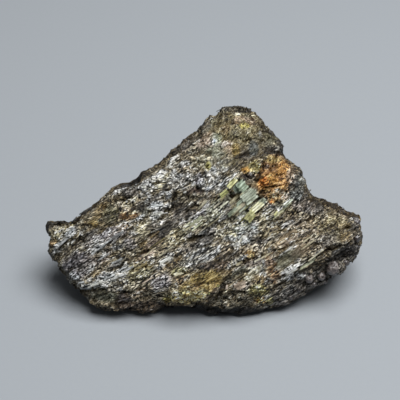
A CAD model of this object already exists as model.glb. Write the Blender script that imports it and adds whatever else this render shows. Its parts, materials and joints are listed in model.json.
import json
import math
import random
import bpy
import bmesh
import numpy as np
from mathutils import Color, Matrix, Vector, noise
from mathutils.bvhtree import BVHTree

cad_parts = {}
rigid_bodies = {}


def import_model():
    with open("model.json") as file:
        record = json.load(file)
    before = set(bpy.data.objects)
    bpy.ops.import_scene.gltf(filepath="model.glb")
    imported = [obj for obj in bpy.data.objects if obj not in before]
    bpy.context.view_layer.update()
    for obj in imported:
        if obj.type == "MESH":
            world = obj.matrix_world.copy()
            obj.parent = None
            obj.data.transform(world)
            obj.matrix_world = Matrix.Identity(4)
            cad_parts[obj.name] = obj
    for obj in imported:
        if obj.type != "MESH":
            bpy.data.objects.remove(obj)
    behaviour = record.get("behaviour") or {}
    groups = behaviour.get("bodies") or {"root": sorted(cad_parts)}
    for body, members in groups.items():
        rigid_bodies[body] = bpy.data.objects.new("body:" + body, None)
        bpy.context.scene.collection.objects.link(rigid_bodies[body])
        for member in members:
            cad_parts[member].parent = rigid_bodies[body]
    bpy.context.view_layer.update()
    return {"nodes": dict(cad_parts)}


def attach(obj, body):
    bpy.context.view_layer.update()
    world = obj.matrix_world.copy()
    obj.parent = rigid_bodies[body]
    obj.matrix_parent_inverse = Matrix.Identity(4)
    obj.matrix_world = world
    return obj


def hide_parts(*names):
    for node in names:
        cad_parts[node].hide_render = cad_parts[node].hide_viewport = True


# One broken chunk of nuummite: gedrite and anthophyllite fibres with rust, gold and silver patches, pale
# green laths and small garnets. Places on it are given on its broad face, in mm: a to the right, b up the
# face and c straight out of it.

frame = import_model()
print("frame loaded:", sorted(frame["nodes"]))

mm = 0.001


# the broad face and the run of the fibres
face = {
    "lean": 42.0,                        # the face's normal stands this far above the horizon, in degrees
    "originMm": (-0.085, 27.987, -1.2),  # where the chunk's origin lies before it is scaled
    "scale": 1.00928,
    "fallBack": 0.105,                   # the face lies back by this much for each mm up it
    "backMm": (-11.0, -5.0),             # between these depths the back's tints give way to the face's
    "fibreAngle": 34.0,                  # the fibres climb to the right at this angle,
    "swingNoise": 5.0,                   # swing off it by about this many degrees,
    "swingStep": 7.0,                    # and do so in bundles that lie side by side
    "rayStartMm": 60.0,                  # rays into the face start this far out of it
}
# where the fibres swing further off that angle: a, b, reach in mm, degrees
fibreSwings = [
    (-32.3, 21.4, 10.0, -6.0),
    (-31.2, 11.7, 8.0, -12.0),
    (-16.7, 35.5, 9.0, -25.0),
    (-15.8, 43.8, 6.0, -18.0),
    (-7.0, 32.0, 5.0, 10.0),
    (10.5, 37.9, 11.0, 8.0),
    (34.6, 25.3, 14.0, 2.0),
    (-12.8, 8.9, 6.0, -18.0),
    (-5.1, 50.6, 9.0, -6.0),
    (11.6, 58.5, 9.0, 20.0),
    (-45.1, 24.2, 5.0, 10.0),
]

faceTurn = Matrix.Rotation(math.radians(90.0 - face["lean"]), 4, "X")
faceToWorld = (Matrix.Scale(mm * face["scale"], 4)
               @ Matrix.Translation(-Vector(face["originMm"])) @ faceTurn)
fibreTurn = Matrix.Rotation(math.radians(face["fibreAngle"]), 4, "Z")
fibreToWorld = faceToWorld @ fibreTurn
worldToFace = faceToWorld.inverted()
intoFace = (faceToWorld.to_3x3() @ Vector((0.0, 0.0, -1.0))).normalized()


# 0 up to low, 1 from high on, and a soft step between them
def smooth(low, high, x):
    t = np.clip((x - low) / (high - low), 0.0, 1.0)
    return t * t * (3.0 - 2.0 * t)


# sRGB hex to linear rgb
def linear(hexColour):
    value = int(hexColour.lstrip("#"), 16)
    rgb = Color(((value >> 16 & 255) / 255, (value >> 8 & 255) / 255, (value & 255) / 255))
    return tuple(rgb.from_srgb_to_scene_linear())


# the bmesh as a mesh
def meshFrom(bm, name):
    mesh = bpy.data.meshes.new(name)
    bm.to_mesh(mesh)
    bm.free()
    return mesh


def newObject(name, mesh, material=None):
    made = bpy.data.objects.new(name, mesh)
    bpy.context.scene.collection.objects.link(made)
    if material:
        mesh.materials.clear()
        mesh.materials.append(material)
    return made


# the object's mesh as its modifiers show it; the modifiers go
def applied(thing):
    graph = bpy.context.evaluated_depsgraph_get()
    mesh = bpy.data.meshes.new_from_object(thing.evaluated_get(graph))
    thing.modifiers.clear()
    old = thing.data
    thing.data = mesh
    if old.users == 0 and isinstance(old, bpy.types.Mesh):
        bpy.data.meshes.remove(old)
    return thing


# a new node; each input is given as a value, a socket, or a node whose first output it takes
def addNode(tree, kind, settings=None, inputs=None):
    node = tree.nodes.new(kind)
    for name, value in (settings or {}).items():
        setattr(node, name, value)
    for name, value in (inputs or {}).items():
        if isinstance(value, bpy.types.Node):
            value = value.outputs[0]
        if isinstance(value, bpy.types.NodeSocket):
            tree.links.new(value, node.inputs[name])
        else:
            node.inputs[name].default_value = value
    return node


# settings of math nodes
plus, minus, times, over, timesPlus, scaled = (
    {"operation": name} for name in ("ADD", "SUBTRACT", "MULTIPLY", "DIVIDE", "MULTIPLY_ADD", "SCALE"))


# keeps a value for each vertex, for materials and for scattering
def attributeOf(mesh, name, kind, values):
    made = mesh.attributes.new(name, kind, "POINT")
    field = {"FLOAT": "value", "FLOAT_VECTOR": "vector", "FLOAT_COLOR": "color"}[kind]
    made.data.foreach_set(field, np.asarray(values, np.float32).ravel())


# tints, and where they lie on the face
tints = {                # the middle tone of each patch
    "greyBrown": "#736c5b",
    "taupe": "#6c6663",
    "dark": "#4a4641",
    "black": "#1d1b19",
    "darkGreen": "#43494a",
    "darkOlive": "#4b4836",
    "darkBrown": "#4c4238",
    "maroon": "#3c2e29",
    "violetGrey": "#605d5f",
    "silver": "#8f9294",
    "silverBright": "#b0b3b5",
    "silverWhite": "#c4c8ca",
    "silverBlue": "#a3abad",
    "lilac": "#918f94",
    "white": "#d9dbd8",
    "cream": "#ece8cf",
    "pale": "#aaa795",
    "beige": "#aba590",
    "olive": "#868063",
    "oliveGrey": "#97937e",
    "oliveBrown": "#67593c",
    "gold": "#86774c",
    "darkGold": "#5d4a2b",
    "paleGold": "#d2c68f",
    "bronze": "#b5a984",
    "yellow": "#a8a058",
    "yellowOlive": "#9b9663",
    "yellowGreen": "#b7ba84",
    "paleGreen": "#99a394",
    "greenWhite": "#b7bba6",
    "greyGreen": "#7d7f6f",
    "teal": "#a8b7a5",
    "mint": "#bcc4b6",
    "paleLime": "#dcdcac",
    "creamLime": "#ebebcb",
    "straw": "#ddd09a",
    "slate": "#707062",
    "amber": "#c29a55",
    "rust": "#9c7744",
    "orange": "#a5682c",
    "tan": "#a88049",
    "rustBrown": "#745a3c",
    "rustDark": "#654a2c",
    "pinkBeige": "#b3a793",
    "pinkGrey": "#a09185",
    "pinkWhite": "#bdb1a4",
    "brownGrey": "#837968",
    "blue": "#b6bfcc",
}
# patches, the later ones over the earlier: a, b, half length, half width, turn in degrees, tint, strength
patches = {
    # right end
    "rightFibres": (36.3, 28.3, 11.2, 5.9, 30, "brownGrey", 0.8),
    "rightOliveRise": (41.8, 29.2, 6.0, 4.0, -30, "olive", 0.6),
    "rightShade": (32.6, 35.7, 6.0, 2.4, -20, "violetGrey", 0.7),
    "rightShadeTop": (30.8, 37.9, 2.0, 1.2, 0, "dark", 0.8),
    "rightShadeMid": (37.0, 35.3, 2.2, 1.6, 0, "dark", 0.8),
    "rightShadeLow": (29.0, 29.6, 2.6, 3.0, 20, "dark", 0.7),
    "rightShadeUp": (32.1, 39.5, 2.0, 1.2, 0, "dark", 0.8),
    "rightShadeFar": (38.5, 32.1, 1.5, 1.8, 0, "dark", 0.6),
    "rightOlive": (45.9, 26.8, 2.6, 3.4, 0, "oliveBrown", 0.7),
    "rightTip": (49.2, 26.5, 1.8, 5.2, 0, "dark", 0.75),
    "rightTipLow": (47.1, 21.1, 3.4, 2.0, 20, "black", 0.95),
    "rightRimDark": (38.0, 36.3, 3.4, 1.2, -30, "dark", 0.7),
    "rightMiddleShade": (39.6, 24.8, 4.6, 2.2, 30, "dark", 0.75),
    "pinkFibres": (26.7, 25.1, 5.6, 2.3, 34, "pinkBeige", 0.9),
    "greenSlab": (26.0, 18.7, 5.4, 1.9, 36, "slate", 0.95),
    "slabPink": (31.2, 22.4, 4.0, 1.4, 33, "brownGrey", 0.6),
    "slabUnder": (29.2, 20.4, 3.4, 1.2, 34, "dark", 0.6),
    "stubbyLaths": (34.1, 23.9, 4.4, 3.0, 36, "brownGrey", 0.7),
    "whiteLath": (27.7, 14.6, 5.0, 1.7, 32, "white", 0.9),
    "rightWall": (35.3, 8.9, 15.0, 5.6, 33, "dark", 0.95),
    "ledgeShade": (44.2, 19.9, 5.6, 2.4, 30, "black", 0.9),
    "wallFoot": (25.0, 5.9, 5.4, 3.0, 24, "dark", 0.85),
    # left
    "leftTip": (-51.2, 27.1, 1.4, 3.4, 0, "black", 0.95),
    "leftTipGlow": (-47.4, 26.3, 1.6, 1.6, 60, "cream", 1.0),
    "leftTipEdge": (-44.8, 29.0, 2.8, 0.9, 14, "cream", 0.9),
    "leftTipBand": (-44.7, 24.9, 4.6, 1.6, 41, "silverWhite", 1.0),
    "leftTipFoot": (-49.1, 24.3, 1.2, 1.7, -30, "tan", 0.8),
    "leftTipPale": (-48.9, 26.2, 2.6, 2.0, 40, "pale", 1.0),
    "leftCrackLight": (-42.5, 24.0, 2.0, 0.6, 48, "white", 0.9),
    "leftDarkBand": (-37.6, 24.7, 5.4, 1.3, 26, "dark", 0.85),
    "leftBelowBand": (-42.1, 27.9, 2.6, 1.0, 60, "dark", 0.6),
    "leftBandShade": (-36.4, 27.2, 2.6, 0.8, 24, "dark", 0.85),
    "leftBandFoot": (-44.2, 21.1, 2.6, 0.8, 44, "dark", 0.6),
    "rimOlive": (-32.9, 34.4, 4.2, 1.8, 45, "oliveBrown", 0.9),
    "rimYellow": (-35.3, 30.2, 1.6, 1.4, 40, "gold", 0.9),
    "rimUpper": (-24.4, 43.7, 4.8, 1.0, 33, "black", 0.95),
    "rimHigh": (-20.2, 46.3, 1.4, 1.0, 33, "black", 0.9),
    "rimShade": (-23.5, 39.9, 3.2, 1.6, 35, "dark", 0.95),
    "rimShadeLow": (-30.0, 33.1, 3.4, 3.0, 30, "darkOlive", 1.0),
    "rimShadeUp": (-24.9, 41.2, 2.6, 1.1, 30, "dark", 0.8),
    "rimShadeInner": (-22.6, 28.0, 1.8, 1.0, 30, "dark", 0.7),
    "rimPlum": (-46.3, 30.9, 5.2, 0.7, 14, "black", 0.9),
    "rimLeft": (-39.7, 33.2, 3.2, 0.7, 34, "black", 0.9),
    "leftBrown": (-40.8, 16.3, 4.6, 4.4, 0, "violetGrey", 1.0),
    "leftBrownUp": (-38.8, 15.7, 3.0, 1.6, 40, "dark", 0.7),
    "leftTaupeRise": (-34.3, 19.3, 4.6, 2.6, 26, "taupe", 0.8),
    "leftSilver": (-31.6, 25.6, 7.6, 2.4, 27, "lilac", 0.95),
    "leftSilverLow": (-33.9, 22.2, 2.4, 3.2, 20, "silverBright", 0.9),
    "leftSilverTop": (-26.1, 29.6, 2.0, 1.4, 20, "silverWhite", 0.9),
    "leftGranular": (-24.0, 24.2, 1.8, 3.0, 20, "violetGrey", 0.8),
    "leftPinkBrown": (-34.1, 19.9, 1.5, 1.0, 20, "oliveBrown", 0.8),
    "leftStreak": (-28.3, 18.2, 2.4, 0.9, 20, "silverWhite", 1.0),
    "leftStreakShade": (-28.7, 16.3, 2.0, 0.8, 10, "dark", 0.8),
    "lowSilver": (-30.9, 12.3, 4.4, 2.2, 24, "silverWhite", 1.0),
    "lowSilverUp": (-26.4, 13.0, 3.0, 1.7, 15, "white", 1.0),
    "lowSilverTop": (-18.4, 17.5, 2.6, 1.2, 28, "silverBright", 0.9),
    "lowSilverFoot": (-42.5, 12.2, 2.6, 1.8, -25, "silver", 0.9),
    "lowSilverLeft": (-34.3, 9.8, 4.4, 1.3, 8, "white", 1.0),
    "lowSilverEdge": (-38.3, 9.3, 4.2, 1.2, -6, "silverWhite", 1.0),
    "lowSilverRight": (-25.1, 12.0, 1.0, 1.4, 20, "white", 1.0),
    "lowLilac": (-25.6, 14.6, 1.3, 3.2, -10, "white", 1.0),
    "lowLeftGreen": (-31.8, 6.5, 4.6, 1.9, -6, "slate", 1.0),
    "lowDarkOlive": (-25.9, 5.4, 2.6, 2.6, 0, "maroon", 0.8),
    "lowPinkStreak": (-21.0, 7.9, 2.4, 0.8, 28, "pinkWhite", 0.95),
    "lowOliveBand": (-20.8, 3.0, 8.8, 2.0, 0, "darkBrown", 0.95),
    "leftRust": (-24.2, 32.6, 3.2, 1.3, 10, "rustBrown", 0.95),
    "leftPinkEnd": (-25.5, 29.1, 2.4, 1.2, 12, "pinkWhite", 0.9),
    "leftRustGlint": (-23.0, 33.7, 1.4, 0.6, 10, "cream", 0.8),
    "leftGreyRise": (-24.5, 36.8, 2.6, 1.4, 30, "beige", 1.0),
    "leftOliveRise": (-19.1, 34.4, 1.9, 2.2, 0, "darkOlive", 0.8),
    "leftPit": (-20.3, 35.2, 2.0, 1.8, 0, "black", 0.75),
    # the middle of the face
    "diagonalOlive": (-19.1, 23.1, 2.2, 1.6, 20, "oliveBrown", 0.9),
    "diagonalBrown": (-15.9, 23.8, 2.2, 2.2, 36, "maroon", 0.6),
    "oliveFibres": (-19.9, 28.3, 3.2, 2.2, 36, "oliveGrey", 0.85),
    "deepShade": (-11.8, 27.6, 4.2, 3.2, 50, "black", 0.9),
    "deepShadeFoot": (-17.2, 22.2, 3.6, 1.6, 50, "darkBrown", 0.85),
    "deepShadeLow": (-8.6, 31.8, 2.4, 1.4, 45, "dark", 0.8),
    "deepShadeLeft": (-16.6, 29.2, 2.2, 1.0, 24, "dark", 0.8),
    "deepShadeRight": (-4.7, 33.2, 2.4, 2.2, 40, "dark", 0.95),
    "pitShade": (-5.3, 22.2, 3.2, 1.3, 36, "dark", 0.7),
    "beigeFibres": (-21.0, 14.6, 5.0, 3.0, 30, "olive", 0.8),
    "beigeStreak": (-20.0, 16.5, 3.4, 0.8, 16, "beige", 0.95),
    "beigeTop": (-20.6, 16.5, 3.2, 1.2, 25, "bronze", 0.9),
    "beigePink": (-19.0, 19.4, 3.6, 1.4, 30, "pinkGrey", 0.7),
    "lilacGrains": (-13.9, 11.1, 3.6, 2.4, 36, "lilac", 0.9),
    "shortWhiteLath": (-12.3, 18.4, 3.3, 0.9, 30, "white", 0.9),
    "trough": (-7.9, 34.4, 2.4, 3.0, 0, "dark", 0.95),
    "troughFoot": (-7.6, 27.0, 7.4, 2.0, 36, "oliveGrey", 0.85),
    "troughLight": (-10.8, 39.2, 1.4, 2.4, -20, "silverBright", 0.9),
    "upperPale": (-17.9, 41.5, 3.2, 1.2, 5, "white", 0.9),
    "upperCream": (-14.4, 42.1, 1.2, 0.9, 10, "cream", 1.0),
    "upperShade": (-15.6, 37.9, 2.6, 1.4, 10, "dark", 0.75),
    "grainyRim": (-10.3, 51.0, 2.8, 1.5, 42, "dark", 0.95),
    "grainyShade": (-1.8, 44.3, 1.6, 2.2, 0, "violetGrey", 1.0),
    "upperPit": (-12.6, 41.5, 1.1, 1.4, 0, "black", 0.85),
    "upperOlive": (-13.8, 44.7, 4.4, 1.6, 10, "pale", 0.8),
    "upperSilver": (-15.6, 35.8, 2.4, 1.0, 8, "silverBright", 0.7),
    "middleSilver": (-14.4, 33.1, 3.2, 1.8, 30, "white", 1.0),
    "grainySilver": (-7.6, 43.7, 4.6, 3.0, 20, "silver", 0.6),
    "grainySilverLeft": (-9.9, 46.0, 1.4, 2.2, 10, "silverBright", 0.9),
    "rimSilver": (-12.6, 48.8, 5.0, 1.9, 42, "white", 0.75),
    "rimSilverLow": (-17.4, 44.4, 3.4, 1.6, 38, "silver", 0.7),
    "grainyLilac": (3.1, 42.8, 4.4, 3.0, 10, "silver", 0.9),
    "grainyPale": (-0.5, 49.8, 3.0, 2.2, 20, "pale", 0.9),
    "peakShadeRight": (19.7, 56.9, 3.0, 2.6, -50, "darkOlive", 0.5),
    "grainyPaleTop": (6.3, 48.2, 1.2, 1.0, 0, "slate", 0.7),
    "grainyPaleRight": (2.7, 46.6, 2.6, 1.6, 0, "silverBright", 0.9),
    "grainyDark": (-2.8, 40.5, 3.2, 0.9, 0, "maroon", 0.9),
    "ridgeDark": (-6.7, 56.1, 4.6, 2.4, 40, "violetGrey", 0.6),
    "silverSlab": (-3.7, 30.0, 3.8, 1.5, 30, "greenWhite", 1.0),
    "paleFibres": (2.7, 32.7, 5.4, 2.2, 38, "oliveGrey", 0.85),
    "lilacSpots": (-0.2, 33.1, 1.8, 1.0, 0, "lilac", 0.9),
    "middleGreyGreen": (-8.4, 25.7, 3.0, 2.8, 30, "oliveGrey", 0.9),
    "middlePit": (1.1, 26.0, 3.6, 2.4, 44, "black", 0.7),
    "crystalLeft": (7.8, 25.4, 1.6, 1.4, 0, "dark", 0.8),
    "middlePitFoot": (-3.7, 21.5, 3.2, 1.2, 34, "dark", 0.8),
    "middlePitLeft": (1.1, 24.4, 2.0, 1.3, 35, "dark", 0.7),
    "middlePitTop": (3.0, 27.0, 2.2, 1.4, 30, "dark", 0.7),
    "silverField": (-1.2, 19.8, 6.6, 2.8, 26, "silver", 0.9),
    "fieldShade": (-1.1, 24.1, 2.2, 1.2, 30, "dark", 0.7),
    "crystalField": (12.6, 26.8, 5.0, 3.6, 30, "silverBlue", 0.95),
    "crystalGreen": (9.9, 27.6, 2.4, 1.6, 30, "greenWhite", 0.8),
    "crystalShoulder": (6.3, 28.7, 3.4, 2.2, 34, "pale", 0.7),
    "crystalPit": (17.0, 24.7, 3.2, 1.2, 10, "black", 0.75),
    "brightCrystal": (10.1, 23.2, 1.7, 1.3, 30, "white", 1.0),
    "crystalEdge": (13.1, 25.9, 1.5, 0.9, 25, "white", 1.0),
    "crystalRight": (21.3, 28.0, 3.8, 2.6, 30, "beige", 0.7),
    "crystalShade": (14.6, 26.7, 1.9, 1.9, 0, "dark", 0.75),
    # gold slab and the foot
    "goldSlab": (-1.0, 11.0, 9.2, 4.8, 30, "gold", 0.98),
    "goldUpperShade": (-7.8, 12.4, 1.8, 2.2, 20, "darkGold", 0.8),
    "goldUpperFoot": (6.5, 15.1, 2.0, 1.4, 30, "darkBrown", 0.7),
    "goldDark": (2.7, 16.8, 5.2, 1.5, 8, "darkBrown", 1.0),
    "goldDarkUp": (5.5, 17.0, 2.6, 1.3, 20, "darkBrown", 0.8),
    "goldEdgeShade": (3.0, 7.3, 3.0, 1.6, 50, "darkBrown", 0.85),
    "speckledDark": (8.7, 20.0, 4.4, 1.5, 4, "dark", 0.85),
    "goldOlive": (-4.6, 7.9, 6.0, 1.6, 8, "bronze", 0.95),
    "goldFoot": (-5.9, 6.6, 6.4, 2.0, 2, "straw", 1.0),
    "goldShade": (-2.7, 10.3, 3.0, 1.4, 20, "darkGold", 0.7),
    "slabYellow": (-11.9, 5.4, 1.4, 1.0, 0, "yellow", 1.0),
    "slabYellowTop": (-8.2, 14.9, 2.2, 0.9, 18, "paleLime", 0.8),
    "slabYellowShade": (-8.2, 13.6, 1.4, 0.8, 20, "darkOlive", 0.9),
    "maroonFoot": (-5.7, 2.0, 8.2, 1.4, 0, "black", 1.0),
    "lowBand": (8.3, 1.0, 18.0, 1.6, 2, "black", 1.0),
    "lowBrown": (7.2, 6.2, 5.6, 3.2, 10, "greyBrown", 0.9),
    "amberSpot": (14.7, 20.3, 1.7, 1.2, 0, "amber", 0.75),
    "amberEdge": (14.3, 19.9, 3.4, 2.0, 10, "oliveBrown", 0.6),
    "greyLath": (15.1, 13.8, 4.2, 1.8, 34, "pale", 0.85),
    "greyLathShade": (15.1, 17.2, 3.0, 1.3, 10, "darkBrown", 0.9),
    "thinWhiteLath": (10.0, 17.8, 3.6, 0.8, 34, "silverWhite", 0.9),
    "slateLath": (10.4, 13.9, 3.4, 1.0, 40, "slate", 0.95),
    "redBrown": (21.0, 17.4, 1.8, 2.2, 40, "rustDark", 0.8),
    "lowRust": (22.2, 13.3, 2.2, 2.4, 0, "rustBrown", 0.85),
    "lowRustShade": (17.4, 11.7, 2.8, 2.0, 40, "oliveBrown", 0.95),
    "lowBrownShade": (14.8, 10.5, 2.4, 1.6, 0, "darkBrown", 0.6),
    "lowOlive": (17.4, 8.3, 3.2, 2.2, 0, "yellowOlive", 0.85),
    "lowOrange": (18.2, 5.1, 1.8, 1.3, 0, "amber", 1.0),
    "lowYellowGreen": (21.0, 5.1, 1.4, 1.2, 0, "yellowOlive", 0.8),
    "paleFragment": (11.5, 10.2, 2.4, 1.5, 20, "pinkWhite", 1.0),
    # peak
    "peakOlive": (9.3, 61.1, 9.2, 6.6, 0, "olive", 0.55),
    "peakTop": (11.1, 67.9, 6.4, 1.3, 0, "black", 0.8),
    "peakLilac": (14.4, 64.0, 3.0, 1.0, -20, "pinkGrey", 0.8),
    "peakCrest": (10.9, 63.6, 1.1, 1.3, 0, "pinkWhite", 0.9),
    "peakCream": (15.5, 62.9, 0.8, 0.9, 0, "pinkWhite", 0.9),
    "peakYellow": (13.2, 61.7, 1.9, 0.9, 0, "yellow", 0.7),
    "peakGlint": (11.1, 65.8, 0.75, 0.32, 0, "cream", 1.0),
    "peakGlintRight": (16.1, 65.3, 0.6, 0.32, 0, "cream", 1.0),
    "peakPink": (7.4, 54.7, 2.1, 2.1, 0, "pinkWhite", 1.0),
    "peakMint": (3.7, 57.4, 2.0, 1.8, -20, "greenWhite", 1.0),
    "peakUnderMint": (2.4, 53.4, 1.8, 1.4, 0, "darkOlive", 0.8),
    "peakBlue": (3.2, 56.8, 0.8, 0.8, 0, "blue", 1.0),
    "peakGold": (10.3, 53.8, 1.5, 2.2, 10, "gold", 0.9),
    "peakGrey": (4.1, 53.2, 3.4, 2.2, 0, "greyGreen", 0.7),
    "peakViolet": (13.7, 52.1, 2.6, 1.6, 10, "dark", 0.8),
    "peakVioletUp": (16.0, 54.4, 1.7, 2.8, 0, "darkGreen", 0.8),
    "peakVioletRight": (22.1, 53.3, 3.0, 1.5, -20, "dark", 0.95),
    "peakRim": (25.2, 56.0, 2.0, 5.0, 20, "black", 0.7),
    "peakGreen": (21.5, 58.6, 2.0, 3.4, 25, "darkOlive", 0.9),
    "peakFoot": (7.6, 49.4, 3.8, 2.0, 0, "darkOlive", 0.75),
    "peakCrestShade": (7.3, 60.6, 1.6, 1.8, 0, "oliveBrown", 0.8),
    "peakYellowFoot": (1.3, 48.5, 0.9, 1.4, 0, "yellow", 0.75),
    "leftLobe": (0.3, 62.3, 2.2, 1.8, 40, "dark", 0.7),
    "leftLobeFoot": (0.5, 57.1, 3.4, 2.2, 40, "pinkGrey", 0.6),
    # rust field
    "rustField": (22.7, 45.1, 6.2, 7.0, -15, "rust", 0.85),
    "rustDark": (20.0, 48.8, 2.4, 1.2, 0, "rustDark", 0.85),
    "rustBand": (22.4, 46.9, 2.4, 0.8, -10, "rustDark", 0.8),
    "rustPebble": (20.2, 48.2, 0.7, 0.7, 0, "pinkGrey", 0.9),
    "rustOrange": (19.1, 43.2, 1.9, 1.9, 0, "orange", 0.95),
    "rustHighUp": (21.7, 50.6, 3.2, 1.2, -6, "gold", 0.85),
    "rustTan": (25.3, 47.5, 1.9, 2.2, -20, "tan", 0.85),
    "rustBright": (21.8, 44.2, 2.2, 1.8, 10, "amber", 0.5),
    "rustFoot": (20.1, 39.5, 2.0, 1.6, 0, "rustBrown", 0.9),
    "rustFootTan": (18.5, 41.0, 1.2, 0.9, 0, "tan", 0.8),
    "rustFootLight": (19.1, 40.8, 1.6, 0.9, 0, "tan", 0.7),
    "rustCream": (23.7, 40.6, 1.0, 0.7, 20, "cream", 0.95),
    "rustBeige": (23.9, 39.2, 2.6, 1.8, 0, "pinkWhite", 0.9),
    "rustPinkSide": (28.4, 45.2, 2.2, 2.6, 0, "pinkGrey", 0.6),
    "rustEnd": (21.8, 36.8, 1.0, 0.7, 0, "orange", 0.9),
    "rustOlive": (24.2, 36.6, 1.6, 1.6, 0, "darkOlive", 0.8),
    "rustFootAmber": (22.3, 38.9, 2.4, 1.5, 0, "amber", 0.55),
    "amberRing": (13.5, 47.3, 1.7, 0.8, 0, "amber", 0.85),
    "ringYellow": (16.1, 48.1, 1.8, 2.0, 0, "paleGold", 0.85),
    "ringInside": (15.3, 48.3, 1.0, 0.8, 0, "olive", 0.8),
    "ringSide": (17.3, 48.5, 0.8, 1.6, 0, "paleGold", 0.9),
    "ringDark": (13.7, 45.3, 1.8, 0.9, 0, "maroon", 0.9),
    "maroonStreak": (16.8, 41.1, 2.2, 0.7, -20, "maroon", 0.5),
    "besideRust": (30.1, 41.8, 2.6, 5.0, -20, "darkGreen", 0.8),
    # the pale laths' bed
    "greenPlate": (11.7, 41.8, 2.0, 2.0, 42, "teal", 1.0),
    "palePlate": (14.1, 38.7, 2.9, 2.1, 39, "mint", 1.0),
    "limePlate": (15.9, 34.7, 3.4, 1.0, 40, "creamLime", 1.0),
    "limeCorner": (9.0, 42.9, 2.1, 0.9, 46, "paleLime", 1.0),
    "limeStreaks": (25.2, 34.5, 4.6, 0.8, 42, "creamLime", 1.0),
    "fineLaths": (4.6, 35.0, 5.4, 3.0, 42, "greyGreen", 0.85),
    "lathPit": (7.2, 35.3, 2.6, 2.2, 42, "dark", 0.8),
    "lathShade": (19.9, 32.7, 3.0, 2.0, 42, "oliveGrey", 0.8),
    "lathFoot": (13.8, 32.0, 3.0, 1.6, 50, "paleLime", 0.9),
    "plateFoot": (11.4, 37.3, 3.4, 2.2, 44, "olive", 0.7),
    "plateRight": (18.0, 36.3, 2.4, 1.0, 36, "mint", 0.95),
    "plateTails": (12.4, 34.4, 3.4, 2.0, 48, "greenWhite", 1.0),
}
# dark gaps between broken pieces: a, b at one end, a, b at the other, half width and depth in mm
gaps = [
    (-34.5, 27, -28.5, 31.1, 0.8, 0.9), (-38, 29.9, -37.4, 30.1, 1.1, 1.4),
    (-32.7, 35, -32.3, 35.2, 0.9, 1.2), (-31.7, 29.4, -30.7, 29.7, 0.9, 1.1),
    (-30.7, 14.5, -26.3, 16.5, 0.7, 0.8), (-27.8, 16.2, -18.3, 21.6, 0.6, 0.7),
    (-39.7, 8.4, -30, 9.1, 0.9, 1.2), (-30, 9.1, -25.4, 7.4, 0.7, 0.9),
    (-12.1, 40.8, -11.1, 41.4, 0.8, 1.3), (-9.7, 39.9, -10.2, 35.2, 1, 1.2),
    (-10.2, 35.2, -15.4, 30.1, 0.9, 1), (-15.4, 30.1, -17.1, 26.2, 0.7, 0.8),
    (-6.2, 33.6, -2.5, 36.7, 0.5, 0.9), (-2.3, 41.1, -0.4, 40.5, 0.7, 0.9), (-5.2, 25.1, 2.3, 26, 0.8, 1.1),
    (-26.7, 37.3, -24.3, 38.5, 0.8, 0.9), (-20.5, 35.6, -18.1, 36, 0.9, 1),
    (22.2, 31.7, 29.3, 37.5, 0.6, 1), (12.4, 56.7, 16.8, 57.4, 0.35, 0.7), (9.8, 51, 13.9, 52.8, 0.6, 0.7),
    (21.5, 54.1, 24.8, 52.5, 0.6, 0.7), (0.8, 52, 2.2, 53, 0.45, 0.7), (8.6, 62.8, 9.2, 63.2, 0.5, 0.8),
    (13.5, 45.3, 17, 43.8, 0.6, 0.9), (18.5, 51, 18.7, 46.3, 0.4, 0.7), (19.7, 41.2, 25.5, 42.4, 0.4, 0.8),
    (8.5, 15.5, 13.9, 18.4, 0.45, 0.9), (16.7, 18.5, 21.9, 20.8, 0.4, 0.8),
    (23.9, 12.1, 34.3, 17.9, 0.6, 1.3), (34.3, 17.9, 40.6, 22, 0.6, 1.2),
    (24.7, 27.4, 29.6, 30.9, 0.35, 0.8), (-10.1, 13.3, -6.6, 14.3, 0.45, 0.9),
    (-13.4, 2.7, -4.9, 2.4, 0.7, 1.2), (-4.9, 2.4, 1.2, 4.5, 0.6, 1), (3.9, 5.1, 6.6, 10.4, 0.7, 1),
    (-6.4, 12.4, -2.1, 13.6, 0.4, 0.6), (15.4, 24.3, 19.7, 25.8, 0.7, 0.9), (8, 24.9, 8.7, 21.8, 0.5, 0.9),
    (29.1, 29.4, 35.5, 32.4, 0.5, 0.8), (41.1, 22, 47.4, 23.6, 0.8, 1.2), (32, 20.9, 36.6, 23.6, 0.35, 0.7),
    (37.3, 27, 42.7, 29.7, 0.4, 0.6), (10.9, 39.2, 14.6, 41.9, 0.35, 1.2), (8.7, 39.2, 10, 38.2, 1.1, 1.3),
    (14.9, 36.1, 17.9, 37.9, 0.35, 1.0), (18.5, 33.4, 20.4, 35.3, 0.35, 0.8),
    (8.2, 41.3, 10.4, 43.7, 0.3, 0.8), (5.3, 38.6, 8.2, 41, 0.4, 0.9), (-46.8, 21.4, -42.8, 25, 0.75, 1.6),
    (-42.8, 25, -40.2, 27.3, 0.4, 1), (-32, 9, -29.7, 9.7, 0.5, 0.9), (-4, 14.6, 0.4, 15, 0.5, 0.8),
    (24.1, 21.5, 27.6, 23.2, 0.35, 0.9), (10.7, 8.5, 12.9, 8, 0.6, 1), (-38.4, 30.5, -37.4, 29.2, 0.9, 1.2),
]
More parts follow.
